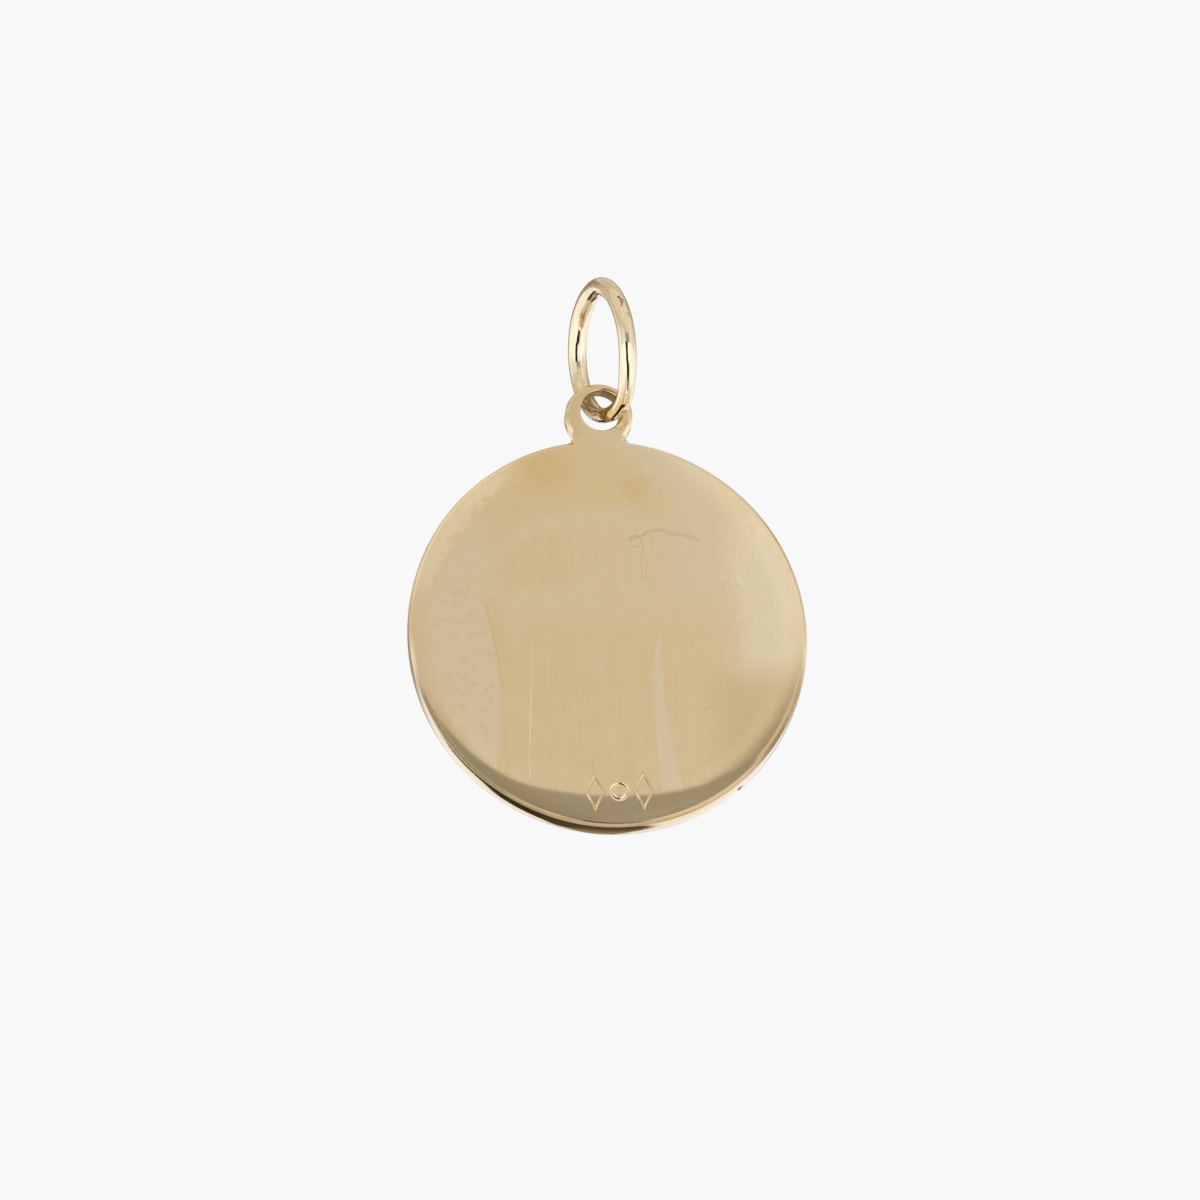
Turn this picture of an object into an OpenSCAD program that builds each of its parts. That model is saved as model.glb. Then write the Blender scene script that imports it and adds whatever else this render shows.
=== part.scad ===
// Plain disc charm with an ear, hanging on a round jump ring, in yellow gold.
// Millimetres, +Z up. The disc stands in the XZ plane and its back faces -Y.
// The origin is the point at the top of the ring's inside where a chain or a thread bears.

/* [Disc] */
// Diameter of the disc
disc_d = 19; // [14:0.5:26]
// Thickness of the disc
disc_t = 1.85; // [1.2:0.05:2.4]
// Width and depth of the bevel round the back's edge
back_bevel = 0.2; // [0.1:0.05:0.3]
// Width and depth of the bevel round the front's edge
front_bevel = 0.12; // [0.05:0.01:0.2]
// Width of the band where the back rolls off before its bevel
roll_w = 1.4; // [0.6:0.1:2.4]
// How far the back drops over that band
roll_depth = 0.07; // [0.02:0.01:0.15]

/* [Ear] */
// Outer diameter of the ear
ear_d = 3.2; // [3:0.05:3.6]
// Thickness of the ear, flush with the disc's back
ear_t = 0.95; // [0.8:0.05:1.1]
// Radius that rounds the ear's edges
ear_round = 0.2; // [0.05:0.05:0.3]
// How far the ear's middle stands beyond the disc's edge
ear_reach = 1.26; // [1.1:0.02:1.5]
// Width of the neck between the ear and the disc
neck_w = 2.42; // [2:0.02:2.8]
// Radius of the fillets where the neck meets the disc
neck_fillet = 0.3; // [0.1:0.05:0.5]

/* [Ear hole] */
// Diameter of the hole in the ear
hole_d = 2; // [1.9:0.02:2.1]
// How far the hole's middle lies above the ear's middle
hole_up = 0.28; // [0.2:0.01:0.3]
// How far the hole's middle lies to the right of the ear's middle
hole_side = 0.1; // [0:0.01:0.12]
// Width and depth of the bevel at each mouth of the hole
hole_bevel = 0.09; // [0.02:0.01:0.12]

/* [Jump ring] */
// Outer diameter of the jump ring
ring_d = 6.88; // [6.4:0.02:8]
// Diameter of the ring's wire
wire_d = 0.84; // [0.7:0.02:0.88]

/* [Hang] */
// Turn of the ring about the vertical, from square to the disc
ring_turn = 18.7; // [10:0.1:22]
// Lean of the ring from upright
ring_lean = 5.7; // [0:0.1:8]
// How far round the ring from its lowest point the ear hangs
thread_angle = 18.6; // [10:0.1:22]
// How far the wire lies below the middle of the hole
thread_drop = 0.15; // [0.05:0.01:0.18]

/* [Hidden] */
$fn = 128;

disc_r = disc_d / 2;
ear_r = ear_d / 2;
hole_r = hole_d / 2;
wire_r = wire_d / 2;
ring_r = ring_d / 2 - wire_r;

// Heights over the disc's middle, and the middle of the ear's thickness, behind the disc's back
ear_z = disc_r + ear_reach;
hole_z = ear_z + hole_up;
ear_y = (ear_t - disc_t) / 2;

// The neck's plate starts inside the disc, where its back is still nearly flat
neck_start = disc_r - back_bevel - 0.8 * roll_w;
// Height over the disc's middle where the neck's sides leave the disc's edge
neck_foot = sqrt(disc_r * disc_r - neck_w * neck_w / 4);

// The rolled band is an arc that leaves the flat face at a tangent
roll_start = disc_r - back_bevel - roll_w;
roll_r = (roll_w * roll_w + roll_depth * roll_depth) / (2 * roll_depth);

// Ring coordinates, with the ring upright and square, become the part's own
function leaned(p) = [p.x * cos(ring_lean) - p.z * sin(ring_lean), p.y,
                      p.x * sin(ring_lean) + p.z * cos(ring_lean)];
function turned(p) = [p.x * cos(ring_turn) - p.y * sin(ring_turn),
                      p.x * sin(ring_turn) + p.y * cos(ring_turn), p.z];
function from_ring(p) = turned(leaned(p));

ring_drop = ring_r - wire_r;
// The wire's middle where the ear hangs, and the wire's direction there
thread_at = from_ring([0, ring_r * sin(thread_angle), -ring_drop - ring_r * cos(thread_angle)]);
thread_dir = from_ring([0, cos(thread_angle), sin(thread_angle)]);
// The disc's middle is moved sideways until its weight is right below the wire's line
thread_x = ear_y * thread_dir.x / thread_dir.y;
disc_at = thread_at - [thread_x, ear_y, hole_z - thread_drop];

// Turns a shape about Z so that its top faces -Y, the disc's back
module facing_back() {
    rotate([90, 0, 0])
        children();
}

// Half of the disc's section, with the back at the top
module disc_section() {
    difference() {
        union() {
            translate([0, -disc_t / 2])
                square([roll_start, disc_t]);
            intersection() {
                translate([roll_start, -disc_t / 2])
                    square([roll_w + back_bevel, disc_t]);
                translate([roll_start, disc_t / 2 - roll_r])
                    circle(roll_r, $fn = 720);
            }
        }
        edge_cut(disc_t / 2 - roll_depth, back_bevel, 1);
        edge_cut(-disc_t / 2, front_bevel, -1);
    }
}

// Triangle that cuts a bevel from the section's outer corner, on the side that way points to
module edge_cut(face, bevel, way) {
    over = bevel;
    polygon([
        [disc_r - bevel - over, face + way * over],
        [disc_r + over, face + way * over],
        [disc_r + over, face - way * (bevel + over)]
    ]);
}

// Section of the ear, with both outer corners rounded
module ear_section() {
    translate([0, -ear_t / 2])
        square([ear_r - ear_round, ear_t]);
    translate([0, ear_round - ear_t / 2])
        square([ear_r, ear_t - 2 * ear_round]);
    for (side = [-1, 1])
        translate([ear_r - ear_round, side * (ear_t / 2 - ear_round)])
            circle(ear_round);
}

// Outline of the neck, with a fillet at each foot
module neck_outline() {
    foot_z = neck_foot + neck_fillet;
    difference() {
        union() {
            translate([-neck_w / 2, neck_start])
                square([neck_w, ear_z - neck_start]);
            translate([-neck_w / 2 - neck_fillet, neck_foot - neck_fillet])
                square([neck_w + 2 * neck_fillet, foot_z - neck_foot + neck_fillet]);
        }
        for (side = [-1, 1])
            translate([side * (neck_w / 2 + neck_fillet), foot_z])
                circle(neck_fillet);
    }
}

// The hole and its bevelled mouths
module ear_hole() {
    mouth_r = hole_r + 2 * hole_bevel;
    cylinder(h = ear_t + 1, r = hole_r, center = true);
    for (side = [0, 1])
        mirror([0, 0, side])
            translate([0, 0, ear_t / 2 - hole_bevel])
                cylinder(h = 2 * hole_bevel, r1 = hole_r, r2 = mouth_r);
}

// The round plate
module plate() {
    facing_back()
        rotate_extrude()
            disc_section();
}

// The ear on its neck, pierced by its hole
module ear() {
    translate([0, ear_y, 0])
        difference() {
            union() {
                translate([0, 0, ear_z])
                    facing_back()
                        rotate_extrude()
                            ear_section();
                facing_back()
                    linear_extrude(ear_t, center = true)
                        neck_outline();
            }
            translate([hole_side, 0, hole_z])
                facing_back()
                    ear_hole();
        }
}

// The plate and its ear are one piece of metal
module disc() {
    color("#d2b88c")
        translate(disc_at) {
            plate();
            ear();
        }
}

module jump_ring() {
    color("#e0cc9a")
        rotate([0, -ring_lean, ring_turn])
            translate([0, 0, -ring_drop])
                rotate([0, 90, 0])
                    rotate_extrude()
                        translate([ring_r, 0])
                            circle(wire_r);
}

disc();
jump_ring();
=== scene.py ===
import math

import bmesh
import bpy
from mathutils import Matrix, Vector


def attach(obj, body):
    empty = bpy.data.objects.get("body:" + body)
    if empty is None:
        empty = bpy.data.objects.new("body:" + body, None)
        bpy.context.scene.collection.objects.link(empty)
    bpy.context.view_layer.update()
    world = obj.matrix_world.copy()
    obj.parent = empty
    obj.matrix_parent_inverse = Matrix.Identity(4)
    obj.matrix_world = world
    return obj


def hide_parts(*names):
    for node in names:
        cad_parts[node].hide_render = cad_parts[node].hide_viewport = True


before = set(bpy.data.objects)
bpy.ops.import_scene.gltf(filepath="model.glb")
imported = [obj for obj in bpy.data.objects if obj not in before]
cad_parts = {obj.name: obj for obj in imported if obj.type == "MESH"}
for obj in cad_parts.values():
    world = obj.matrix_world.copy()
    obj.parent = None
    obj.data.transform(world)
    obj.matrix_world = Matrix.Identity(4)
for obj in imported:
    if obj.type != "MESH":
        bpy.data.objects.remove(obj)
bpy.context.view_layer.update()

bl_info = {
    "name": "Disc Charm",
    "version": (1, 0, 0),
    "blender": (4, 5, 0),
    "location": "3D View > Sidebar > Charm",
    "description": "Models a plain gold disc charm with its ear and jump ring over the packed frame",
    "category": "Add Mesh",
}

MM = 0.001

# Heights and places that are closer than this count as level or in line
CLOSE = 0.01 * MM
# Points of the outline that are closer than this are one
SAME_POINT = 0.004 * MM

# Steps round the disc's rim, the ear, each fillet of its neck, the hole, and the ring and its wire
RIM_STEPS = 360
EAR_STEPS = 144
FILLET_STEPS = 12
HOLE_STEPS = 120
RING_STEPS = 240
WIRE_STEPS = 48

# Where the wall is nicked: millimetres to the right of the disc's middle and above it
NICK_X, NICK_Y = 5.87, -7.57

# Colours are red, green, blue and opacity, and the main ones are settings. The face's fine grain, haze with a painted
# sheen, painted highlight on the upper left rim and bright scratches, and the deeper gold of its lower right, its lower
# left and the ear
GRAIN_GOLD = (0.62, 0.48, 0.28, 1)
HAZE_AND_SHEEN_GOLD = (0.9, 0.76, 0.54, 1)
RIM_HIGHLIGHT_GOLD = (0.92, 0.76, 0.5, 1)
SCRATCH_GOLD = (0.93, 0.82, 0.62, 1)
LOW_RIGHT_GOLD = (0.64, 0.45, 0.22, 1)
LOW_LEFT_GOLD = (0.69, 0.52, 0.26, 1)
EAR_GOLD = (0.66, 0.49, 0.27, 1)
# The painted reflection on the wall's far edge, the bevel beyond it, and the ear's bore with its painted light
WALL_EDGE_REFLECTION_BROWN = (0.4, 0.27, 0.11, 1)
FRONT_BEVEL_BROWN = (0.5, 0.33, 0.14, 1)
BORE_PAINTED_LIGHT = (0.86, 0.66, 0.36, 1)
# Dark marks on the disc: the thread, the nick, and lines and pinholes
THREAD_BROWN = (0.34, 0.27, 0.17, 1)
NICK_BROWN = (0.16, 0.09, 0.04, 1)
LINE_BROWN = (0.4, 0.29, 0.14, 1)
# The wire's satin stretch, the torch's tint and scale, its dark lines with a painted reflection, and the painted shade
# in the lap's gap
SATIN_BROWN = (0.55, 0.41, 0.23, 1)
TORCH_BROWN = (0.6, 0.38, 0.14, 1)
SCALE_BROWN = (0.16, 0.09, 0.035, 1)
LINE_AND_REFLECTION_BROWN = (0.12, 0.07, 0.03, 1)
GAP_SHADE_BROWN = (0.05, 0.03, 0.012, 1)


def length_property(name, description, millimetres):
    """A length, stored in metres."""
    return bpy.props.FloatProperty(name=name, description=description, default=millimetres * MM, subtype="DISTANCE")


def angle_property(name, description, degrees):
    """An angle, stored in radians."""
    return bpy.props.FloatProperty(
        name=name, description=description, default=math.radians(degrees), subtype="ANGLE")


def colour_property(name, description, *colour):
    """A colour, given as red, green and blue."""
    return bpy.props.FloatVectorProperty(
        name=name, description=description, default=(*colour, 1), size=4, min=0, max=1, subtype="COLOR")


class DiscSettings(bpy.types.PropertyGroup):
    """Sizes and golds of the plate"""
    diameter: length_property("Diameter", "Diameter of the round plate", 18.92)
    thickness: length_property("Thickness", "Thickness of the plate", 1.85)
    centre: bpy.props.FloatVectorProperty(
        name="Centre", description="Middle of the plate in the part's frame",
        default=(0.0357658 * MM, 1.5363429 * MM, -16.302 * MM), subtype="TRANSLATION")
    oval: bpy.props.FloatProperty(
        name="Out of round", description="How much longer one radius is than the mean", default=0.012)
    oval_turn: angle_property("Long axis", "Angle of the longest radius from the disc's right", 124)
    back_bevel: length_property("Back bevel", "Width of the bevel round the back", 0.17)
    front_bevel: length_property("Front bevel", "Width of the bevel round the front", 0.12)
    roll_width: length_property("Roll-off width", "Band in which the back falls away to its edge", 1.4)
    roll_depth: length_property("Roll-off depth", "How far the back falls away at its edge", 0.05)
    lip_depth: length_property(
        "Lower facet depth", "How far the flat that was rubbed on the lower edge falls away", 0.085)
    dome: length_property("Dome", "How much higher the middle of the back stands than its rim", 0.06)
    wall_bulge: length_property("Wall bulge", "How far the polished side wall bulges", 0.036)
    gold: colour_property("Gold", "Clean gold of the face", 0.755, 0.597, 0.374)
    pale_gold: colour_property("Pale gold", "The face's left side and its wiped stripe", 0.755, 0.607, 0.405)
    tarnish: colour_property("Tarnish", "Yellow tarnish of the face", 0.747, 0.555, 0.293)
    deep_tarnish: colour_property("Deep tarnish", "Deepest spots of the tarnish", 0.7, 0.48, 0.2)
    wall_gold: colour_property("Wall gold", "The side wall towards the front", 0.72, 0.52, 0.25)


class EarSettings(bpy.types.PropertyGroup):
    """Sizes of the ear"""
    diameter: length_property("Diameter", "Outer diameter of the ear", 3.22)
    thickness: length_property("Thickness", "Thickness of the ear", 0.95)
    reach: length_property("Reach", "How far the ear's middle stands beyond the rim", 1.277)
    neck: length_property("Neck", "Width of the neck", 2.36)
    fillet: length_property("Fillet", "Radius where the neck meets the rim", 0.3)
    hole: length_property("Hole", "Diameter of the hole", 1.97)
    hole_up: length_property("Hole up", "How far the hole stands above the ear's middle", 0.25)
    hole_side: length_property("Hole to the right", "How far the hole stands to the right of the ear's middle", 0.12)
    hole_lean: angle_property("Hole lean", "How far the bore leans, worn by the ring's wire", 11)
    hole_bevel: length_property("Hole bevel", "Width of the bevel at the hole's mouths", 0.09)


class RingSettings(bpy.types.PropertyGroup):
    """Sizes and golds of the jump ring"""
    radius: length_property("Ring radius", "Radius of the wire's middle line", 3.02)
    wire: length_property("Wire", "Diameter of the wire", 0.84)
    turn: angle_property("Turn", "Turn about the vertical", 18.7)
    lean: angle_property("Lean", "Lean from upright", 5.7)
    gold: colour_property("Gold", "Bright gold of the wire", 0.8, 0.66, 0.45)
    deep_gold: colour_property("Deep gold", "Deeper gold in the wire's fine lines", 0.74, 0.57, 0.33)


class StudioSettings(bpy.types.PropertyGroup):
    """Camera, floor and backdrop"""
    distance: length_property("Camera distance", "From the lens to the charm", 400)
    lens: bpy.props.FloatProperty(
        name="Lens", description="Focal length in millimetres for a 36 mm sensor", default=253.4)
    azimuth: angle_property("Azimuth", "Turn of the camera round the charm, to the right of square", -4)
    elevation: angle_property("Elevation", "Height of the camera over the level, as an angle", -16.6)
    roll: angle_property("Roll", "Turn of the camera about its own line of sight", -2.3)
    aim: bpy.props.FloatVectorProperty(
        name="Aim", description="Point in the middle of the picture",
        default=(-0.2645073 * MM, 1.03284804 * MM, -14.61613255 * MM), subtype="TRANSLATION")
    floor_drop: length_property("Floor", "How far the floor lies below the origin", 320)
    floor_colour: colour_property("Floor colour", "Colour of the floor", 0.85, 0.85, 0.85)
    backdrop: colour_property("Backdrop", "Colour behind the charm, which the gold doesn't mirror", 0.939, 0.939, 0.939)


# ---------------------------------------------------------------- shader maths


class Value:
    """A node's output, so that shader maths reads as Python."""

    def __init__(self, maker, socket):
        self.maker, self.socket = maker, socket

    def do(self, operation, *others):
        """Applies a maths operation to this output and others."""
        return self.maker.add("ShaderNodeMath", {"operation": operation}, dict(enumerate((self, *others))))

    def __add__(self, other):
        return self.do("ADD", other)

    def __sub__(self, other):
        return self.do("SUBTRACT", other)

    def __rsub__(self, other):
        return (self * -1) + other

    def __mul__(self, other):
        return self.do("MULTIPLY", other)

    def __truediv__(self, other):
        return self.do("DIVIDE", other)

    def __pow__(self, other):
        return self.do("POWER", other)

    def __neg__(self):
        return self * -1

    def __abs__(self):
        return self.do("ABSOLUTE")

    __radd__, __rmul__ = __add__, __mul__

    def over(self, edge, soft):
        """0 below an edge and 1 above it, with a smooth step of the given width."""
        return self.maker.add("ShaderNodeMapRange", {"interpolation_type": "SMOOTHSTEP"},
                              {0: self, 1: edge - soft / 2, 2: edge + soft / 2})

    def within(self, low, high, soft):
        """1 between two edges and 0 outside them, with a smooth step at each."""
        return self.over(low, soft) * (1 - self.over(high, soft))


class Maker:
    """Adds nodes to one material's or the world's tree."""

    def __init__(self, owner):
        owner.use_nodes = True
        self.tree = owner.node_tree

    def add(self, kind, settings=None, inputs=None, output=0):
        """Adds a node with its settings and sockets and gives one of its outputs."""
        node = self.tree.nodes.new(kind)
        for key, setting in (settings or {}).items():
            setattr(node, key, setting)
        for key, given in (inputs or {}).items():
            self.feed(node.inputs[key], given)
        return Value(self, node.outputs[output])

    def feed(self, socket, given):
        """Links an output to a socket, or sets the socket's own value."""
        if isinstance(given, Value):
            self.tree.links.new(given.socket, socket)
        else:
            socket.default_value = given

    def mix(self, factor, first, second):
        """A colour between two colours."""
        return self.add("ShaderNodeMix", {"data_type": "RGBA"}, {0: factor, 6: first, 7: second}, 2)

    def blend(self, factor, first, second):
        """A number between two numbers."""
        return self.add("ShaderNodeMix", {"data_type": "FLOAT"}, {0: factor, 2: first, 3: second}, 0)

    def split(self, vector):
        """A vector's three numbers."""
        node = self.add("ShaderNodeSeparateXYZ", None, {0: vector}).socket.node
        return [Value(self, node.outputs[i]) for i in range(3)]


# ---------------------------------------------------------------- modelling


def only(piece):
    """Makes a piece the only selected and active object."""
    bpy.ops.object.select_all(action="DESELECT")
    piece.select_set(True)
    bpy.context.view_layer.objects.active = piece


def new_piece(name):
    """Names the object that was just added and makes it the only selected one."""
    piece = bpy.context.active_object
    piece.name = piece.data.name = name
    only(piece)
    return piece


def pick(piece, kind, test):
    """Opens a piece for editing with just the parts selected that pass a test."""
    only(piece)
    bpy.ops.object.mode_set(mode="EDIT")
    bpy.ops.mesh.select_mode(type=kind)
    bpy.ops.mesh.select_all(action="DESELECT")
    mesh = bmesh.from_edit_mesh(piece.data)
    parts = {"VERT": mesh.verts, "EDGE": mesh.edges, "FACE": mesh.faces}[kind]
    found = [part for part in parts if test(part)]
    if not found:
        raise RuntimeError(f"nothing to select on {piece.name}")
    for part in found:
        part.select_set(True)
    bmesh.update_edit_mesh(piece.data)


def done():
    """Closes a piece after editing."""
    bpy.ops.object.mode_set(mode="OBJECT")


def cut_or_join(piece, tool, operation):
    """Joins a second solid to a piece or cuts it away, and deletes the second solid."""
    only(piece)
    modifier = piece.modifiers.new("Boolean", "BOOLEAN")
    modifier.operation, modifier.object, modifier.solver = operation, tool, "EXACT"
    bpy.ops.object.modifier_apply(modifier=modifier.name)
    bpy.data.objects.remove(tool, do_unlink=True)
    if not piece.data.polygons:
        raise RuntimeError(f"{operation} left nothing of {piece.name}")


def press(piece, direction, depth, share):
    """Moves a piece's surface by a depth times each point's share of it."""
    only(piece)
    group = piece.vertex_groups.new(name="share")
    for vertex in piece.data.vertices:
        weight = share(vertex.co)
        if weight > 0:
            group.add([vertex.index], min(weight, 1), "REPLACE")
    modifier = piece.modifiers.new("Displace", "DISPLACE")
    modifier.direction, modifier.strength, modifier.mid_level = direction, depth, 0
    modifier.vertex_group = group.name
    bpy.ops.object.modifier_apply(modifier=modifier.name)
    piece.vertex_groups.remove(piece.vertex_groups["share"])


def weigh_normals(piece):
    """Lets the big flat faces keep flat shading up to their bevels."""
    modifier = piece.modifiers.new("Normals", "WEIGHTED_NORMAL")
    modifier.weight, modifier.keep_sharp = 100, True
    bpy.ops.object.modifier_apply(modifier=modifier.name)


def smoothstep(value, low, high):
    """0 below one edge and 1 above another, with a smooth rise between them."""
    t = min(max((value - low) / (high - low), 0), 1)
    return t * t * (3 - 2 * t)


class CHARM_OT_disc(bpy.types.Operator):
    """Models the round plate with its ear as one piece of metal"""
    bl_idname = "charm.disc"
    bl_label = "Disc and ear"

    def execute(self, context):
        size, ear = context.scene.charm_disc, context.scene.charm_ear
        radius, top = size.diameter / 2, size.thickness / 2
        ear_y = radius + ear.reach
        ear_z = top - ear.thickness / 2
        ear_low = top - ear.thickness
        # Widths of the broken corners of the back's bevel and of the rounding under the ear
        corner_break, ear_rounding = 0.008 * MM, 0.2 * MM
        # The ear starts at the rim's top, give or take this margin. Within this reach of its neck the back isn't bent
        rim_margin, neck_reach = 0.2 * MM, 2.2 * MM

        def outer_edge(height, low_end=-1):
            """Picks level edges at a height that border a side wall and reach beyond a place along Y."""
            def test(edge):
                level = all(abs(v.co.z - height) < CLOSE for v in edge.verts)
                return (level and max(v.co.y for v in edge.verts) > low_end
                        and any(abs(face.normal.z) < 0.5 for face in edge.link_faces))
            return test

        def bevel_corner(edge):
            """Picks the edges between the back's 45 degree bevel and the face or the wall."""
            tilts = [abs(face.normal.z) for face in edge.link_faces]
            return (edge.verts[0].co.z > top - 1.1 * size.back_bevel
                    and any(0.65 < tilt < 0.75 for tilt in tilts) and max(tilts) - min(tilts) > 0.2)

        # The disc is modelled lying flat with its back up: first the rim, drawn at the back's height
        bpy.ops.mesh.primitive_circle_add(
            vertices=RIM_STEPS, radius=radius, fill_type="NGON", location=(0, 0, top), rotation=(0, 0, size.oval_turn))
        disc = new_piece("disc_plate")
        disc.scale = (1 + size.oval, 1 - size.oval, 1)
        bpy.ops.object.transform_apply(location=True, rotation=True, scale=True)
        # Rings of faces on the back, by width in mm: one for the bevel, then close ones where the back falls away to it
        pick(disc, "FACE", lambda face: True)
        for width in [0.18] + [0.1] * 25 + [0.5] * 12:
            bpy.ops.mesh.inset(thickness=width * MM, depth=0)
        done()

        # The neck stands a little to the right of the disc's middle, and the ear a little to its left
        neck_x, ear_x = 0.03 * MM, -0.03 * MM
        ear_middle = Vector((ear_x, ear_y, top))
        # For the right and the left side: the fillet's middle, its foot on the rim, and the ends of the neck's side
        turns, feet, neck_low, neck_high = [], [], [], []
        for side in (1, -1):
            across = ear.neck / 2 + ear.fillet + side * neck_x
            rim = radius * (1 + size.oval * math.cos(2 * (math.pi / 2 - side * across / radius - size.oval_turn)))
            up = math.sqrt((rim + ear.fillet) ** 2 - across ** 2)
            turns.append(Vector((side * across, up, top)))
            foot = Vector((side * across * rim / (rim + ear.fillet), up * rim / (rim + ear.fillet), top))
            feet.append(foot)
            neck = side * ear.neck / 2 + neck_x
            neck_low.append(Vector((neck, up, top)))
            neck_high.append(Vector((neck, ear_y - math.sqrt(ear.diameter ** 2 / 4 - (neck - ear_x) ** 2), top)))
            # The rim's nearest point slides to the foot
            nearest = min(disc.data.vertices, key=lambda vertex: (vertex.co - foot).length)
            slide, index = foot - nearest.co, nearest.index
            pick(disc, "VERT", lambda vertex: vertex.index == index)
            bpy.ops.transform.translate(value=slide)
            done()

        def corner_at(place):
            """Picks the outline's point at a place."""
            return lambda vertex: (vertex.co - place).length < SAME_POINT

        def sweep(start, middle, end, clockwise, steps):
            """Draws an arc round a middle from one point of the outline to the next."""
            first, last = start - middle, end - middle
            angle = (math.atan2(last.y, last.x) - math.atan2(first.y, first.x)) % (2 * math.pi)
            pick(disc, "VERT", corner_at(start))
            bpy.ops.mesh.spin(steps=steps, angle=2 * math.pi * clockwise - angle, center=middle, axis=(0, 0, 1))
            done()

        def draw_line(start, end):
            """Draws a straight side from one point of the outline to the next."""
            pick(disc, "VERT", corner_at(start))
            bpy.ops.mesh.extrude_region_move(TRANSFORM_OT_translate={"value": end - start})
            done()

        # The outline of the ear and its neck on top of the rim, drawn from the right foot to the left one
        sweep(feet[0], turns[0], neck_low[0], True, FILLET_STEPS)
        draw_line(neck_low[0], neck_high[0])
        sweep(neck_high[0], ear_middle, neck_high[1], False, EAR_STEPS)
        draw_line(neck_high[1], neck_low[1])
        sweep(neck_low[1], turns[1], feet[1], True, FILLET_STEPS)
        pick(disc, "VERT", lambda vertex: True)
        bpy.ops.mesh.remove_doubles(threshold=SAME_POINT)
        done()
        pick(disc, "EDGE", lambda edge: all(
            feet[1].x - CLOSE < v.co.x < feet[0].x + CLOSE and v.co.y > 0 or v.co.y > radius + rim_margin
            for v in edge.verts))
        bpy.ops.mesh.edge_face_add()
        done()

        # Both are drawn out to the ear's thickness, and the disc alone to its own
        pick(disc, "FACE", lambda face: True)
        bpy.ops.mesh.extrude_region_move(TRANSFORM_OT_translate={"value": (0, 0, -ear.thickness)})
        done()
        pick(disc, "FACE", lambda face: abs(face.normal.z) > 0.9 and face.calc_center_median().y < radius
             and abs(face.calc_center_median().z - ear_low) < CLOSE)
        bpy.ops.mesh.extrude_region_move(TRANSFORM_OT_translate={"value": (0, 0, ear.thickness - size.thickness)})
        done()
        pick(disc, "FACE", lambda face: abs(face.calc_center_median().z + top) < CLOSE)
        bpy.ops.mesh.dissolve_faces()
        done()
        pick(disc, "FACE", lambda face: True)
        bpy.ops.mesh.normals_make_consistent(inside=False)
        done()
        # At the neck the outermost ring of the back is one with the ear
        outer_ring = 0.14 * MM
        pick(disc, "FACE", lambda face: face.normal.z > 0.9 and abs(face.calc_center_median().x) < neck_reach
             and face.calc_center_median().y > 0 and face.calc_center_median().xy.length > radius - outer_ring)
        bpy.ops.mesh.dissolve_faces()
        done()
        # A flat bevel round the back with both of its corners broken, and rounder ones at the front and under the ear
        pick(disc, "EDGE", outer_edge(top))
        bpy.ops.mesh.bevel(offset=size.back_bevel, segments=1, affect="EDGES", clamp_overlap=False)
        done()
        pick(disc, "EDGE", bevel_corner)
        bpy.ops.mesh.bevel(offset=corner_break, segments=1, affect="EDGES", clamp_overlap=False)
        done()
        pick(disc, "EDGE", outer_edge(-top))
        bpy.ops.mesh.bevel(offset=size.front_bevel, segments=3, profile=0.5, affect="EDGES", clamp_overlap=False)
        done()
        below_ear = outer_edge(ear_low, radius - rim_margin)
        pick(disc, "EDGE", lambda edge: below_ear(edge) and all(
            face.calc_center_median().z > ear_low - CLOSE for face in edge.link_faces) and any(
            face.normal.z < -0.9 for face in edge.link_faces))
        bpy.ops.mesh.bevel(offset=ear_rounding, segments=4, profile=0.5, affect="EDGES", clamp_overlap=False)
        done()
        # Points that the bevels left in one place are joined
        pick(disc, "VERT", lambda vertex: True)
        bpy.ops.mesh.remove_doubles(threshold=0.001 * MM)
        done()
        # The wall's upright edges are divided, so that it can bulge
        pick(disc, "EDGE", lambda edge: abs(edge.verts[0].co.z - edge.verts[1].co.z) > 0.4 * MM
             and (edge.verts[0].co.xy - edge.verts[1].co.xy).length < CLOSE)
        bpy.ops.mesh.subdivide(number_cuts=5)
        done()

        # The hole in the ear, whose far mouth has slipped to the left, and the bevels at its mouths
        hole_x, hole_y = ear.hole_side, ear_y + ear.hole_up
        slip = ear.thickness * math.tan(ear.hole_lean)
        bpy.ops.mesh.primitive_cylinder_add(
            vertices=HOLE_STEPS, radius=ear.hole / 2, depth=3 * ear.thickness,
            location=(hole_x - slip / 2, hole_y, ear_z), rotation=(0, ear.hole_lean, 0))
        cut_or_join(disc, new_piece("hole"), "DIFFERENCE")

        def mouth(edge):
            """Picks the edges of the hole's two mouths."""
            level = abs(edge.verts[0].co.z - edge.verts[1].co.z) < CLOSE
            middle = hole_x if edge.verts[0].co.z > ear_z else hole_x - slip
            return level and all(
                abs(math.hypot(v.co.x - middle, v.co.y - hole_y) - ear.hole / 2) < 0.03 * MM
                and abs(abs(v.co.z - ear_z) - ear.thickness / 2) < CLOSE for v in edge.verts)

        pick(disc, "EDGE", mouth)
        bpy.ops.mesh.bevel(offset=ear.hole_bevel, segments=3, profile=0.5, affect="EDGES", clamp_overlap=False)
        done()

        # Small lumps that the worn hole's edge has at its lower right, by place and radius in mm
        for lump_x, lump_y, lump in ((0.85, 10.19, 0.08), (0.64, 10.04, 0.06)):
            bpy.ops.mesh.primitive_uv_sphere_add(
                segments=24, ring_count=16, radius=lump * MM, location=(lump_x * MM, lump_y * MM, top - 0.03 * MM))
            cut_or_join(disc, new_piece("lump"), "UNION")

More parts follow.
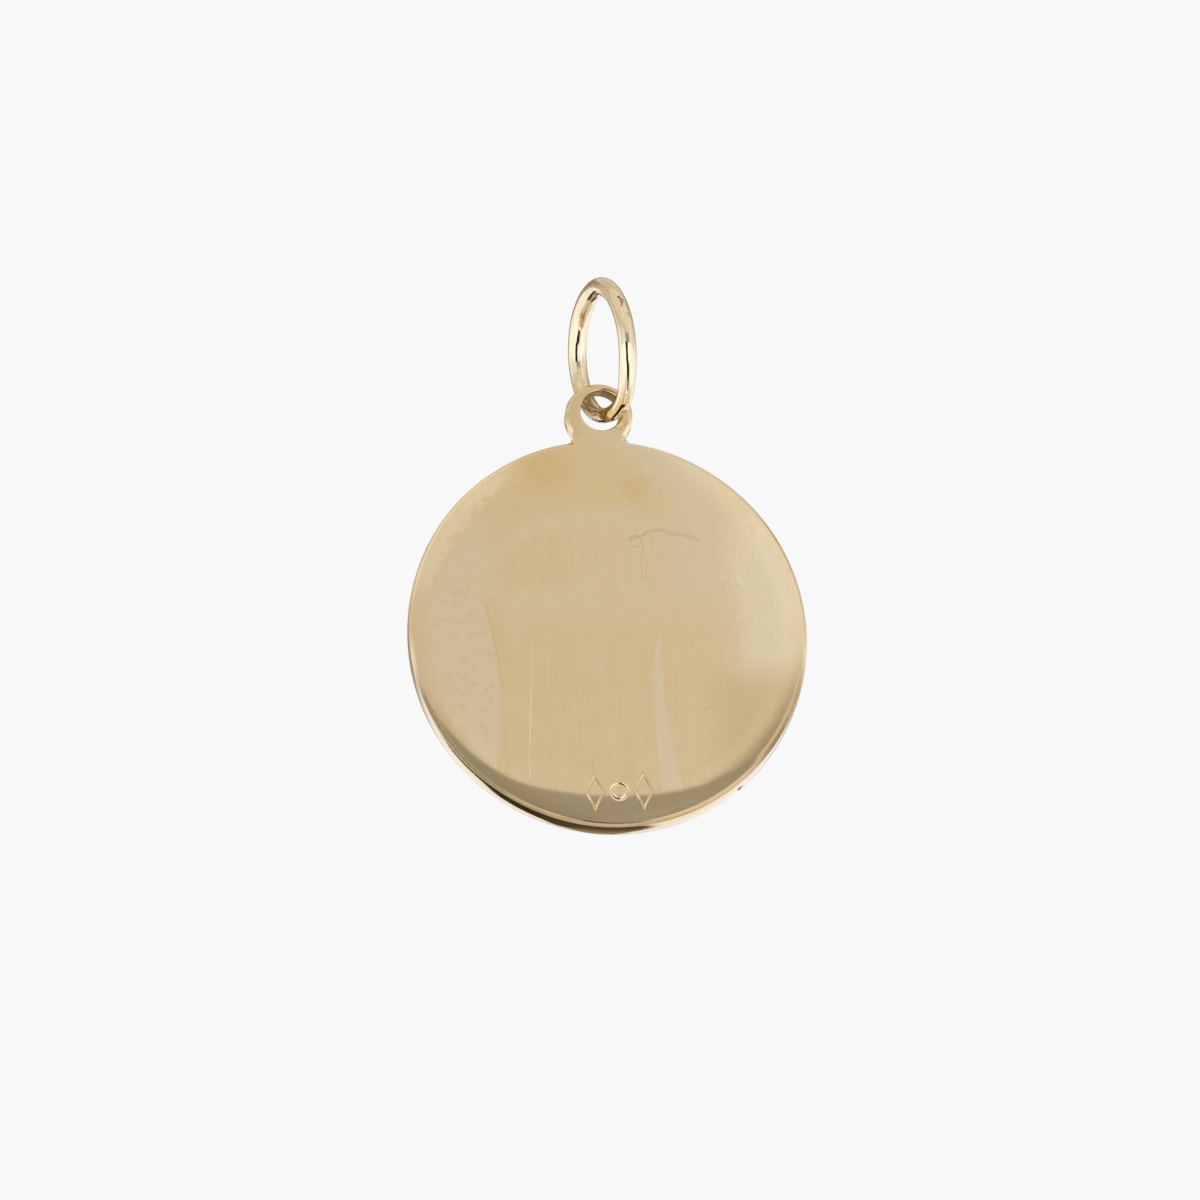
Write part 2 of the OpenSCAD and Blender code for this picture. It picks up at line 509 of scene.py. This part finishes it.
        # A plain row of struck shapes: lozenge, circle, lozenge. Each has its count of corners, its reach, its width as
        # a share of its height, the radius of the punch's edge and the height of that edge's middle over the back
        lozenge, circle = (4, 0.78, 0.55, 0.26, 0.205), (32, 0.36, 1, 0.15, 0.105)
        row_x, row_y, row_step = 0.22, -7.87, 1.15
        for place, (corners, reach, squeeze, blunt, height) in ((-1, lozenge), (0, circle), (1, lozenge)):
            bpy.ops.mesh.primitive_torus_add(
                major_segments=corners, minor_segments=24, major_radius=reach * MM, minor_radius=blunt * MM)
            punch = new_piece("punch")
            punch.scale.x = squeeze
            punch.location = ((row_x + row_step * place) * MM, row_y * MM, top + height * MM)
            cut_or_join(disc, punch, "DIFFERENCE")

        # A slanting nick across the front half of the wall
        bpy.ops.mesh.primitive_cylinder_add(
            vertices=12, radius=0.29 * MM, depth=1.2 * MM, location=(NICK_X * MM, NICK_Y * MM, -0.65 * MM),
            rotation=(math.radians(-21.6), math.radians(28.2), 0))
        cut_or_join(disc, new_piece("nick"), "DIFFERENCE")

        # The polished wall bulges a little between its bevels
        wall_top, wall_bottom = top - size.back_bevel, size.front_bevel - top
        middle, half = (wall_top + wall_bottom) / 2, (wall_top - wall_bottom) / 2

        def clear_of_neck(place):
            """0 at the neck and 1 well away from it."""
            return smoothstep(math.hypot(place.x, place.y - radius), neck_reach, 6 * MM)

        press(disc, "NORMAL", size.wall_bulge, lambda place: clear_of_neck(place) * (
            1 - ((place.z - middle) / half) ** 2 if place.length > radius * 0.97 else 0))

        def rolled(place):
            """Share of the roll-off's depth at a place of the back."""
            if place.z < 0:
                return 0
            out = math.hypot(place.x, place.y)
            return clear_of_neck(place) * min((max(out - radius + size.back_bevel + size.roll_width, 0)
                                               / size.roll_width) ** 2, 1)

        # The flat that was rubbed on the lower rim thins out up both sides and swells at the bottom. Angles go round
        # the rim from its right, in degrees, and widths are in mm
        flat_start, flat_end, flat_width = 193, 325, 0.88
        swell_start, swell_end, swell_width = 237, 300, 0.77
        # The back bends into the flat over the first length, and would fall by the whole depth over the second
        bend, full_fall = 0.25 * MM, 1.6 * MM

        def rubbed(place):
            """Share of the rubbed flat's depth at a place of the back."""
            angle = math.degrees(math.atan2(place.y, place.x)) % 360
            width = min(0.02 * (angle - flat_start), 0.04 * (flat_end - angle), flat_width)
            if swell_start < angle < swell_end:
                width += swell_width * math.sin(math.pi * (angle - swell_start) / (swell_end - swell_start))
            rim = radius * (1 + size.oval * math.cos(2 * (math.radians(angle) - size.oval_turn)))
            beyond = math.hypot(place.x, place.y) - rim + width * MM
            if place.z < 0 or width <= 0 or beyond < 0:
                return 0
            return (beyond ** 2 / (2 * bend) if beyond < bend else beyond - bend / 2) / full_fall

        press(disc, "Z", size.dome, lambda place: 1 - place.xy.length_squared / radius ** 2 if place.z > 0 else 0)
        press(disc, "Z", -size.roll_depth, rolled)
        press(disc, "Z", -size.lip_depth, rubbed)

        disc.rotation_euler = (math.radians(90), 0, 0)
        disc.location = size.centre
        only(disc)
        bpy.ops.object.transform_apply(location=True, rotation=True, scale=True)
        bpy.ops.object.shade_smooth_by_angle(angle=math.radians(35))
        weigh_normals(disc)
        disc.data.materials.append(disc_gold(size))
        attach(disc, "pendant")
        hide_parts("disc")
        return {"FINISHED"}


class CHARM_OT_jump_ring(bpy.types.Operator):
    """Models the jump ring"""
    bl_idname = "charm.jump_ring"
    bl_label = "Jump ring"

    def execute(self, context):
        size = context.scene.charm_ring
        bpy.ops.mesh.primitive_torus_add(
            major_segments=RING_STEPS, minor_segments=WIRE_STEPS,
            major_radius=size.radius, minor_radius=size.wire / 2)
        ring = new_piece("ring_wire")

        def near_angle(at, angle, width):
            """1 at an angle round the ring, falling to 0 at either side of it."""
            return math.exp(-(((at - angle + 180) % 360 - 180) / width) ** 2)

        # The wire is bent a little out of true. Each bend has its direction, its depth in mm, and its middle and width
        # as angles round the ring, from the lowest point towards the far side of the disc
        lap_push, lap_angle, lap_spread = 0.2, -22, 28
        for direction, depth, angle, width in (("NORMAL", 0.035, 160, 70), ("NORMAL", -0.05, 5, 45),
                                               ("Z", lap_push, lap_angle, lap_spread), ("X", -0.12, -158, 32)):
            press(ring, direction, depth * MM, lambda place: near_angle(
                math.degrees(math.atan2(place.y, place.x)), angle, width))

        def on_wire(angle, round_wire, depth=0):
            """Point on the wire's skin, by its angle round the ring and round the wire."""
            angle, round_wire = math.radians(angle), math.radians(round_wire)
            out = size.radius + (size.wire / 2 - depth) * math.cos(round_wire)
            return Vector((out * math.cos(angle), out * math.sin(angle),
                           (size.wire / 2 - depth) * math.sin(round_wire)))

        # The drawn wire's skin is faintly wavy
        only(ring)
        texture = bpy.data.textures.new("wave", "CLOUDS")
        texture.noise_scale = 0.5 * MM
        modifier = ring.modifiers.new("Displace", "DISPLACE")
        modifier.texture, modifier.strength, modifier.mid_level = texture, 0.012 * MM, 0.5
        bpy.ops.object.modifier_apply(modifier=modifier.name)

        def on_lap(angle, round_wire, depth):
            """Point a depth in mm under the skin where the wire's two ends lap."""
            push = Vector((0, 0, lap_push * MM * near_angle(angle, lap_angle, lap_spread)))
            return on_wire(angle, round_wire, depth * MM) + push

        # The ends lap at the lower right: beads of solder, by their two ends and radius in mm, then a gap along the
        # wire beside them, by the two ends of each stretch
        for first, second, bead in (((-23, 13), (-17, 16), 0.125), ((-17, 15), (-5, 17), 0.065)):
            start, end = on_lap(*first, 0.04), on_lap(*second, 0.04)
            bpy.ops.mesh.primitive_uv_sphere_add(
                segments=24, ring_count=16, radius=1, location=(start + end) / 2,
                scale=(bead * MM, bead * MM, (end - start).length / 2 + bead / 2 * MM),
                rotation=(end - start).to_track_quat("Z", "Y").to_euler())
            cut_or_join(ring, new_piece("bead"), "UNION")
        gap = 0.095
        for first, second in (((-24, -15), (-17, -20)), ((-17.5, -20), (-9.5, -20)), ((-10, -20), (-2, -14))):
            start, end = on_lap(*first, 0.02), on_lap(*second, 0.02)
            bpy.ops.mesh.primitive_cylinder_add(
                vertices=16, radius=gap * MM, depth=(end - start).length, location=(start + end) / 2,
                rotation=(end - start).to_track_quat("Z", "Y").to_euler())
            cut_or_join(ring, new_piece("gap"), "DIFFERENCE")

        # Small pits in the soldered upper part, by place and radius in mm
        for angle, round_wire, pit in ((-122, -15, 0.06), (-118.5, 0, 0.09), (-116.5, -3, 0.06), (-112.5, -18, 0.05),
                                       (-105, 15, 0.065), (-103, 16, 0.05)):
            bpy.ops.mesh.primitive_uv_sphere_add(
                segments=12, ring_count=8, radius=pit * MM, location=on_wire(angle, round_wire))
            cut_or_join(ring, new_piece("pit"), "DIFFERENCE")

        drop = size.radius - size.wire / 2
        hang = (Matrix.Rotation(size.turn, 4, "Z") @ Matrix.Rotation(-size.lean, 4, "Y")
                @ Matrix.Translation((0, 0, -drop)) @ Matrix.Rotation(math.radians(90), 4, "Y"))
        ring.matrix_world = hang
        bpy.ops.object.transform_apply(location=True, rotation=True, scale=True)
        bpy.ops.object.shade_smooth()
        ring.data.materials.append(ring_gold(size, hang))
        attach(ring, "ring")
        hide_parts("jump_ring")
        return {"FINISHED"}


def finish_gold(maker, colour, roughness, height):
    """Feeds a gold's colour, its roughness and its fine relief in mm to its shader."""
    shader = maker.tree.nodes["Principled BSDF"]
    shader.inputs["Metallic"].default_value = 1
    maker.feed(shader.inputs["Base Color"], colour)
    maker.feed(shader.inputs["Roughness"], roughness)
    maker.feed(shader.inputs["Normal"], maker.add(
        "ShaderNodeBump", None, {"Strength": 1.0, "Distance": MM, "Height": height}))


def disc_gold(size):
    """The worn back of the disc: rubbed and tarnished gold with brush marks, a wiped stripe and scratches."""
    material = bpy.data.materials.new("disc_gold")
    maker = Maker(material)
    place = maker.add("ShaderNodeMapping", None, {
        "Vector": maker.add("ShaderNodeTexCoord", output="Object"),
        "Location": tuple(-c / MM for c in size.centre), "Scale": (1 / MM, 1 / MM, 1 / MM)})
    # Millimetres from the disc's middle: u to the right, v up, w from back to front
    u, w, v = maker.split(place)
    back = 1 - w.over(0, 0.6)

    def noise(across, along, detail=2.0, shift=0.0):
        """Noise with its own grain across and along the brush marks. The shift keeps two of them apart."""
        at = maker.add("ShaderNodeCombineXYZ", None, {0: u * across, 1: v * along, 2: w * across + shift})
        return maker.add("ShaderNodeTexNoise", None, {"Vector": at, "Scale": 1.0, "Detail": detail})

    strokes = noise(6, 0.28, 3)
    fine = noise(16, 1.2, 2, 4)
    cloud = noise(0.5, 0.45, 3, 9)
    mottle = noise(1.5, 0.9, 4, 14)
    ragged = noise(3.5, 3, 3, 17)
    grain = noise(12, 12, 2, 20)
    uw = u + (cloud - 0.5) * 1.4 + (ragged - 0.5) * 1.3
    vw = v + (noise(0.6, 0.5, 3, 30) - 0.5) * 1.0 + (ragged - 0.5) * 1.1
    radius = (u * u + v * v) ** 0.5
    rough_radius = radius + (noise(2.2, 2.2, 3, 50) - 0.5) * 1.6

    # Yellow tarnish above an arc, deepest on its left
    arc = ((uw + 0.5) ** 2 + (vw + 1.8) ** 2) ** 0.5
    top = arc.over(8, 1.3) * (uw + 5.4 - 0.45 * (vw - 6).do("MAXIMUM", 0)).over(0, 1.4) * (
        2.8 - 0.16 * (vw - 5.4) ** 2 - uw).over(0, 1.6)
    deep = ((1 - ((uw + 2.7) ** 2 + (vw - 7.9) ** 2 * 1.5).over(1.6, 3))
            + 0.7 * (1 - ((uw - 1.6) ** 2 + (vw - 7) ** 2 * 1.6).over(0.6, 1.2))) * top
    # A brushed patch below the arc, and fainter strokes to its right
    below_arc = 1 - arc.over(7.2, 0.8)
    patch = uw.within(-4.9, -1.8, 1) * vw.over(2.2, 1) * below_arc * (0.55 + 0.45 * strokes.over(0.48, 0.14))
    dabs = uw.within(-1.8, 2.9, 0.9) * vw.over(2.2, 2.5) * below_arc * strokes.over(0.5, 0.16)
    # The lower part has a clean left edge and fades out to the right
    edge = u + 5.2 + 0.028 * (v + 3.4) ** 2
    lower = edge.over(0, 0.16) * (1 - uw.over(6, 3.5)) * (1 - vw.over(0.8, 3))
    beside = edge.within(0, 0.7, 0.25) * vw.within(-2.6, 1.8, 0.8)
    brushed = 0.3 + 0.35 * mottle.over(0.48, 0.3) + 0.35 * strokes.over(0.52, 0.26)
    # Small spots on the paler left, and yellow rims
    spot = maker.add("ShaderNodeTexVoronoi", None, {"Vector": maker.add("ShaderNodeCombineXYZ", None, {
        0: u + (ragged - 0.5) * 0.5, 1: (v + 0.3 * u) * 1.5, 2: w}), "Scale": 2.1, "Randomness": 1.0})
    spots = (1 - edge.over(-0.2, 0.3)) * radius.over(5.6, 0.5) * (1 - radius.over(8.2, 0.4)) * v.within(
        -5, 2.8, 1) * (0.36 - spot).over(0, 0.24) * mottle.over(0.46, 0.06)
    left_rim = rough_radius.over(8.45, 0.7) * (1 - u.over(-3, 3)) * v.over(-5, 1.5)
    right_rim = rough_radius.over(8.4, 0.7) * u.over(6, 2) * (0.4 + 0.6 * noise(1, 7, 2, 60).over(0.5, 0.2))
    stripe_left = 0.07 * (v + 3) ** 2 * v.over(-3, 2) - 0.045 * v + 1.87
    stripe_right = 2.42 + 0.018 * (v + 1) ** 2 * (1 - v.over(-1, 1))
    stripe = (u - stripe_left).over(0, 0.07) * (stripe_right - u).over(0, 0.07) * v.within(-7.75, 0.3, 0.3)
    ear = v.over(9.7, 0.8)
    yellow = (top * (1 - ear) + 0.5 * ear + 0.9 * patch + 0.5 * dabs + 0.95 * lower * brushed + 0.5 * beside
              + 0.9 * spots + 0.7 * left_rim + 0.6 * right_rim)
    yellow = yellow * (0.6 + 0.6 * mottle + 0.4 * (ragged - 0.5)) * back * (1 - stripe)
    yellow = yellow.do("MINIMUM", 1)
    pale = (1 - edge.over(-0.1, 0.3)) * (1 - v.over(2.5, 3)) + stripe
    deep = deep * (1 - ear) + 0.9 * v.over(11.6, 1.6)

    # Pale haze where a cloth has rubbed the upper right, partly a painted sheen of the brighter light that it mirrors
    haze_and_sheen = rough_radius.within(6.3, 8.9, 1.6) * (u - 0.1 * v).over(5.4, 2.2)
    haze_and_sheen = haze_and_sheen * v.over(-3.5, 4) * (1 - v.over(6, 3)) * back

    def gap_to(points):
        """Distance to the nearest of the straight lines that join some points."""
        nearest = None
        for (au, av), (bu, bv) in zip(points, points[1:]):
            du, dv = bu - au, bv - av
            along = maker.add("ShaderNodeClamp", None, {0: ((u - au) * du + (v - av) * dv) / (du * du + dv * dv)})
            gap = ((u - au - along * du) ** 2 + (v - av - along * dv) ** 2) ** 0.5
            nearest = gap if nearest is None else nearest.do("MINIMUM", gap)
        return nearest

    def line(points, half_width):
        """A scratch that joins some points."""
        return (half_width - gap_to(points)).over(0, half_width)

    straight = line(((-3.52, 0.1), (-3.72, -2.4), (-3.95, -6), (-3.96, -7.3)), 0.03) * (
        0.15 + 0.4 * v.within(-7.3, -2.2, 2)) * (0.5 + noise(2, 2.5, 2, 70))
    # A thread mark: a wavy double line with a loop at its left end and a tail
    hair = gap_to(((1.2, 4.5), (1.76, 4.66), (2.04, 4.86), (2.67, 4.95), (3.2, 4.74), (3.74, 4.68), (4.45, 4.45)))
    hair = (0.014 - abs(hair - 0.045)).over(0, 0.025)
    loop = (0.012 - abs(((u - 1.45) ** 2 + (v - 4.4) ** 2 * 0.8) ** 0.5 - 0.26)).over(0, 0.02)
    tail = line(((1.72, 4.5), (1.78, 4.1), (1.68, 3.5), (1.7, 2.6), (2.06, 2.45)), 0.022)
    tail = tail * (0.5 + 0.5 * ragged.over(0.5, 0.1))
    thread = hair.do("MAXIMUM", loop).do("MAXIMUM", tail) * back
    ticks = 0.35 * line(((5.45, 2.7), (5.65, 2.43)), 0.03) + line(((6.25, 2.49), (6.5, 2.12)), 0.045)
    dark_lines = (0.6 * line(((-6.5, -0.96), (-5.2, -1.02)), 0.025) + 0.6 * line(((4.36, -4.01), (4.82, -3.74)), 0.03)
                  + 0.35 * line(((-5.72, 1.5), (-5.2, -1.6)), 0.05))
    pin = maker.add("ShaderNodeTexVoronoi", None, {
        "Vector": maker.add("ShaderNodeCombineXYZ", None, {0: u, 1: v, 2: w}), "Scale": 1.6, "Randomness": 1.0})
    dark_pins = (0.045 - pin).over(0, 0.02) * mottle.over(0.52, 0.04)
    bright_pins = (0.045 - pin).over(0, 0.02) * (1 - mottle.over(0.44, 0.04))

    colour = maker.mix(yellow, maker.mix(pale, size.gold, size.pale_gold), size.tarnish)
    colour = maker.mix(deep * 0.5, colour, size.deep_tarnish)
    colour = maker.mix(haze_and_sheen * 0.45, colour, HAZE_AND_SHEEN_GOLD)
    bright = (straight + 0.8 * ticks + 0.6 * bright_pins).do("MINIMUM", 1)
    colour = maker.mix(bright * back * 0.8, colour, SCRATCH_GOLD)
    colour = maker.mix(thread * 0.5, colour, THREAD_BROWN)
    # The lower right is deeper, and the rim at the upper left is painted paler: a painted highlight
    low_right = u.over(5, 2.5) * v.within(-6.6, -2.2, 2.4) * back
    colour = maker.mix(low_right * 0.7, colour, LOW_RIGHT_GOLD)
    rim_painted_highlight = rough_radius.over(8.6, 0.6) * (1 - u.over(-4.2, 2)) * v.over(2.4, 2) * back
    colour = maker.mix(rim_painted_highlight * 0.5, colour, RIM_HIGHLIGHT_GOLD)
    low_left = radius.over(8.7, 0.5) * (1 - u.over(-4, 2.5)) * (1 - v.over(-3.5, 2.5)) * back
    colour = maker.mix(low_left * 0.75, colour, LOW_LEFT_GOLD)
    colour = maker.mix(ear * (1 - u.over(-0.9, 0.5)) * back * 0.6, colour, EAR_GOLD)
    # Millimetres inwards from the rim, which is out of round
    long_axis = 2 * size.oval_turn
    bulge = ((u * u - v * v) * math.cos(long_axis) + u * v * (2 * math.sin(long_axis))) / (radius * radius)
    inset = size.diameter / 2 / MM * (1 + size.oval * bulge) - radius
    # Painted shade: the bevel round the lower edge is painted darker than the face, by a share that changes along it,
    # for the dimmer light that it mirrors
    bevel = inset.within(0.006, 0.175, 0.012) * (1 - w.over(-0.3, 0.1)) * (1 - v.over(-2.2, 2.4)) * (1 - ear)
    bevel_painted_shade = (0.335 + 0.235 * u.over(-5, 2.5) + 0.2 * u.within(-3.4, -1.4, 0.8) + 0.08 * u.within(0.4, 3.4, 1.4)
            + 0.12 * u.within(1.4, 6.6, 1.4) - 0.235 * u.within(7.2, 8.2, 0.8))
    colour = maker.mix(bevel, colour, maker.add("ShaderNodeMix", {"data_type": "RGBA", "blend_type": "MULTIPLY"}, {
        0: 1.0, 6: colour, 7: maker.add("ShaderNodeCombineXYZ", None, {0: bevel_painted_shade, 1: bevel_painted_shade * 0.9, 2: bevel_painted_shade * 0.78})}, 2))
    # The side wall is yellower towards the front, its far part along the lower rim is painted brown as a painted
    # reflection, and the bevel on its far edge is brown
    wall = (1 - inset.over(0.006, 0.012)) * w.within(-0.79, 0.83, 0.02) * (1 - v.over(7, 2))
    colour = maker.mix(wall * w.over(0.2, 2.4) * 0.8, colour, size.wall_gold)
    far_wall_reflection = wall * w.over(0.5, 0.1) * (1 - v.over(-1, 3))
    colour = maker.mix(far_wall_reflection * (0.45 + 0.35 * u.within(-4.5, 3.5, 2)), colour, WALL_EDGE_REFLECTION_BROWN)
    colour = maker.mix(w.within(0.83, 0.915, 0.01) * 0.75, colour, FRONT_BEVEL_BROWN)
    nick = 1 - (((u - NICK_X) ** 2 + (v - NICK_Y) ** 2) ** 0.5).over(0.38, 0.12)
    colour = maker.mix(nick * w.within(0, 1.2, 0.1) * inset.over(0.012, 0.01), colour, NICK_BROWN)
    colour = maker.mix((0.35 * dark_lines + 0.5 * dark_pins) * back, colour, LINE_BROWN)
    colour = maker.mix((grain - 0.5) * 0.5 + (fine - 0.5) * 0.5 + 0.05, colour, GRAIN_GOLD)

    # The upper wall of the ear's bore is dull, and its colour is painted paler: painted light for the gold that it
    # mirrors
    bore = (1 - ((u - 0.05) ** 2 + (v - 10.99) ** 2).over(1.08, 0.04)) * v.over(11.1, 0.5) * w.over(-0.8, 0.06)
    colour = maker.mix(bore * 0.5, colour, BORE_PAINTED_LIGHT)
    roughness = 0.085 + 0.05 * haze_and_sheen + 0.05 * fine + 0.03 * yellow + 0.06 * bevel + 0.42 * bore - 0.06 * wall
    height = (strokes * 0.0008 + fine * 0.0003 + cloud * 0.004 + mottle * 0.0012 + grain * 0.0002
              + straight * back * 0.001 - thread * 0.002)
    finish_gold(maker, colour, roughness, height)
    return material


def ring_gold(size, matrix):
    """The drawn wire: brighter gold with fine lines along it and a rough soldered stretch."""
    material = bpy.data.materials.new("ring_gold")
    maker = Maker(material)
    place = maker.add("ShaderNodeMapping", {"vector_type": "TEXTURE"}, {
        "Vector": maker.add("ShaderNodeTexCoord", output="Object"), "Location": matrix.translation,
        "Rotation": matrix.to_euler(), "Scale": (MM, MM, MM)})
    # Millimetres in the ring's own plane, and the angle from its lowest point
    x, y, z = maker.split(place)
    out = (x * x + y * y) ** 0.5
    angle = y.do("ARCTAN2", x) * (180 / math.pi)

    def noise(across, along, detail, shift=0.0):
        """Noise with its own grain across and along the wire."""
        at = maker.add("ShaderNodeCombineXYZ", None, {0: out * across, 1: z * across + shift, 2: x * along})
        return maker.add("ShaderNodeTexNoise", None, {"Vector": at, "Scale": 1.0, "Detail": detail})

    drawn = noise(9, 0.7, 3)
    grain = noise(11, 11, 3, 7)
    patches = noise(1.2, 1.2, 2, 20)
    # The grey satin stretch at the back, low on the left, and the beige one at the top
    satin = angle.within(30, 82, 14) + 0.6 * (1 - angle.over(-95, 30))
    colour = maker.mix(drawn.over(0.52, 0.3), size.gold, size.deep_gold)
    colour = maker.mix(satin * grain.over(0.48, 0.2) * 0.65, colour, SATIN_BROWN)
    # Scale left by the torch on the stretch behind the ear
    colour = maker.mix(angle.within(8, 66, 12) * 0.75, colour, TORCH_BROWN)
    scale = angle.within(16, 62, 10) * noise(14, 1.6, 3, 33).over(0.46, 0.1)
    colour = maker.mix(scale * 0.85, colour, SCALE_BROWN)
    # A dark line painted up the wire from the lap, a painted reflection that carries on the dark line the wire mirrors
    # above it, and a short dark line near the top
    waver = (drawn - 0.5) * 0.07
    reflection_line_and_mark = (1 - abs(z + 0.09 - 0.0065 * (angle + 58) + waver).over(0.045, 0.03)) * angle.within(-64, -40, 3)
    reflection_line_and_mark = reflection_line_and_mark + (1 - abs(z + 0.066 + waver).over(0.04, 0.03)) * angle.within(-123, -113, 3)
    colour = maker.mix(reflection_line_and_mark * out.over(3.25, 0.1) * 0.9, colour, LINE_AND_REFLECTION_BROWN)
    # Painted shade: the gap between the wire's lapped ends is painted near black
    gap = z - 0.02 + 0.0045 * (angle + 9.5).do("MINIMUM", 0)
    shaded_gap = (1 - abs(gap).over(0.08, 0.03)) * angle.within(-25.5, -1, 2) * out.over(3.25, 0.1)
    colour = maker.mix(shaded_gap, colour, GAP_SHADE_BROWN)
    roughness = 0.025 + 0.05 * patches.over(0.5, 0.3) * grain + 0.16 * satin + 0.3 * shaded_gap
    finish_gold(maker, colour, roughness, grain * (0.0012 + 0.004 * satin) + drawn * 0.004 + patches * 0.002)
    return material


def light_the_room(world, backdrop):
    """A pale room of soft panels round the charm, which the polished gold mirrors."""
    maker = Maker(world)
    direction = maker.add("ShaderNodeTexCoord", output="Generated")
    x, y, z = maker.split(direction)
    turn = x.do("ARCTAN2", -y) * (180 / math.pi)
    height = z.do("ARCSINE") * (180 / math.pi)
    behind = y.over(0, 0.1)
    front = 1 - behind

    # Angles are degrees to the picture's right and above the level. On the lens's side: a brighter right half, and the
    # pale low part with a shaded band along its top and an unlit slot in it
    right = turn.over(8.5, 9) * front
    top_of_low = 8.5 + (0.05 * (turn - 3) ** 2).do("MINIMUM", 5)
    low = (1 - (height - top_of_low).over(0, 4.5)) * (1 - (1 - height.over(-60, 10)) * abs(x).over(0.15, 0.1)) * front
    shade = low * turn.within(-19, 25, 8) * height.over(-2, 4)
    lower_slot = (-height).over(37, 20)
    slot_turn = (turn + 13 - 15 * lower_slot) * (1 - 0.25 * lower_slot)
    slot = front * slot_turn.within(-16, 16, 4) * height.within(-65, -1, 5)
    # Behind the charm: bright sides, a glow between them, a brown panel over it and a dark opening
    sides = behind * abs(x).over(0.5, 0.2) * (1 - height.over(12, 16)) * height.over(-52, 14)
    glow = behind * height.within(-36, 8, 8) * (1 - sides)
    brown = behind * (1 - abs(x).over(0.7, 0.3)) * height.within(11, 42, 6)
    dark_top = (-12 + 3 * (1 - x.over(-0.22, 0.1)) + 8.5 * (1 - x.over(-0.355, 0.05))
                + 2.5 * x.within(-0.11, 0.08, 0.06) + 2.5 * x.within(-0.02, 0.08, 0.07))
    dark = behind * x.within(-0.53, 0.17, 0.05) * height.over(-42, 6) * (1 - (height - dark_top).over(0, 3))
    gloom = 0.045 + 0.035 * x.over(-0.17, 0.1) + 0.3 * height.over(-15, 20) * x.over(-0.06, 0.1)

    def panel(tint, rightwards, shadow):
        """One colour channel of the room."""
        bright = (1.0 + 0.42 * (1 - height.over(-2, 12))) * tint
        light = (0.83 + rightwards * right + 0.2 * height.over(26, 7) * front * (1 - right)
                 + 0.06 * height.within(9, 14, 2) * front)
        light = maker.blend(low, light, bright)
        light = maker.blend(shade, light, 0.43)
        light = maker.blend(slot, light, 0.03)
        light = maker.blend(glow, light, 1.12 * (0.5 + 0.5 * tint))
        light = maker.blend(sides, light, 1.25 * tint)
        light = maker.blend(brown, light, shadow)
        return maker.blend(dark, light, gloom * (3.2 - 2.2 * tint))

    colour = maker.add("ShaderNodeCombineXYZ", None, {
        0: panel(1, 0.2, 0.4), 1: panel(1.06, 0.24, 0.34), 2: panel(1.22, 0.3, 0.24)})
    seen = maker.add("ShaderNodeLightPath", output="Is Camera Ray")
    background = maker.tree.nodes["Background"]
    maker.feed(background.inputs["Color"], maker.mix(seen, colour, backdrop))


class CHARM_OT_studio(bpy.types.Operator):
    """Sets up the floor, the light and the camera"""
    bl_idname = "charm.studio"
    bl_label = "Studio"

    def execute(self, context):
        scene = context.scene
        size = scene.charm_studio
        camera = bpy.data.objects.new("camera", bpy.data.cameras.new("camera"))
        scene.collection.objects.link(camera)
        camera.matrix_world = (
            Matrix.Translation(size.aim) @ Matrix.Rotation(size.azimuth, 4, "Z")
            @ Matrix.Rotation(math.radians(90) - size.elevation, 4, "X") @ Matrix.Rotation(size.roll, 4, "Z")
            @ Matrix.Translation((0, 0, size.distance)))
        camera.data.lens = size.lens
        camera.data.sensor_width = 36
        camera.data.clip_start, camera.data.clip_end = 0.01, 20
        scene.camera = camera
        scene.view_settings.view_transform = "Standard"

        bpy.ops.mesh.primitive_plane_add(size=3, location=(0, 0, -size.floor_drop))
        floor = new_piece("floor")
        floor.visible_glossy = False
        pale = bpy.data.materials.new("floor")
        pale.use_nodes = True
        pale.node_tree.nodes["Principled BSDF"].inputs["Base Color"].default_value = size.floor_colour
        floor.data.materials.append(pale)

        world = bpy.data.worlds.new("studio")
        scene.world = world
        light_the_room(world, size.backdrop)
        return {"FINISHED"}


class CHARM_PT_panel(bpy.types.Panel):
    """Lists the charm's pieces with their sizes"""
    bl_idname = "CHARM_PT_panel"
    bl_label = "Disc charm"
    bl_space_type = "VIEW_3D"
    bl_region_type = "UI"
    bl_category = "Charm"

    def draw(self, context):
        scene = context.scene
        for sizes, operators in ((scene.charm_disc, ()), (scene.charm_ear, ("charm.disc",)),
                                 (scene.charm_ring, ("charm.jump_ring",)), (scene.charm_studio, ("charm.studio",))):
            box = self.layout.box()
            for name in sizes.__annotations__:
                box.prop(sizes, name)
            for operator in operators:
                box.operator(operator)


CLASSES = (DiscSettings, EarSettings, RingSettings, StudioSettings, CHARM_OT_disc, CHARM_OT_jump_ring, CHARM_OT_studio,
           CHARM_PT_panel)


def register():
    for each in CLASSES:
        bpy.utils.register_class(each)
    bpy.types.Scene.charm_disc = bpy.props.PointerProperty(type=DiscSettings)
    bpy.types.Scene.charm_ear = bpy.props.PointerProperty(type=EarSettings)
    bpy.types.Scene.charm_ring = bpy.props.PointerProperty(type=RingSettings)
    bpy.types.Scene.charm_studio = bpy.props.PointerProperty(type=StudioSettings)


def unregister():
    del bpy.types.Scene.charm_disc, bpy.types.Scene.charm_ear, bpy.types.Scene.charm_ring, bpy.types.Scene.charm_studio
    for each in reversed(CLASSES):
        bpy.utils.unregister_class(each)


def main():
    register()
    bpy.ops.charm.disc()
    bpy.ops.charm.jump_ring()
    bpy.ops.charm.studio()


if __name__ == "__main__":
    main()
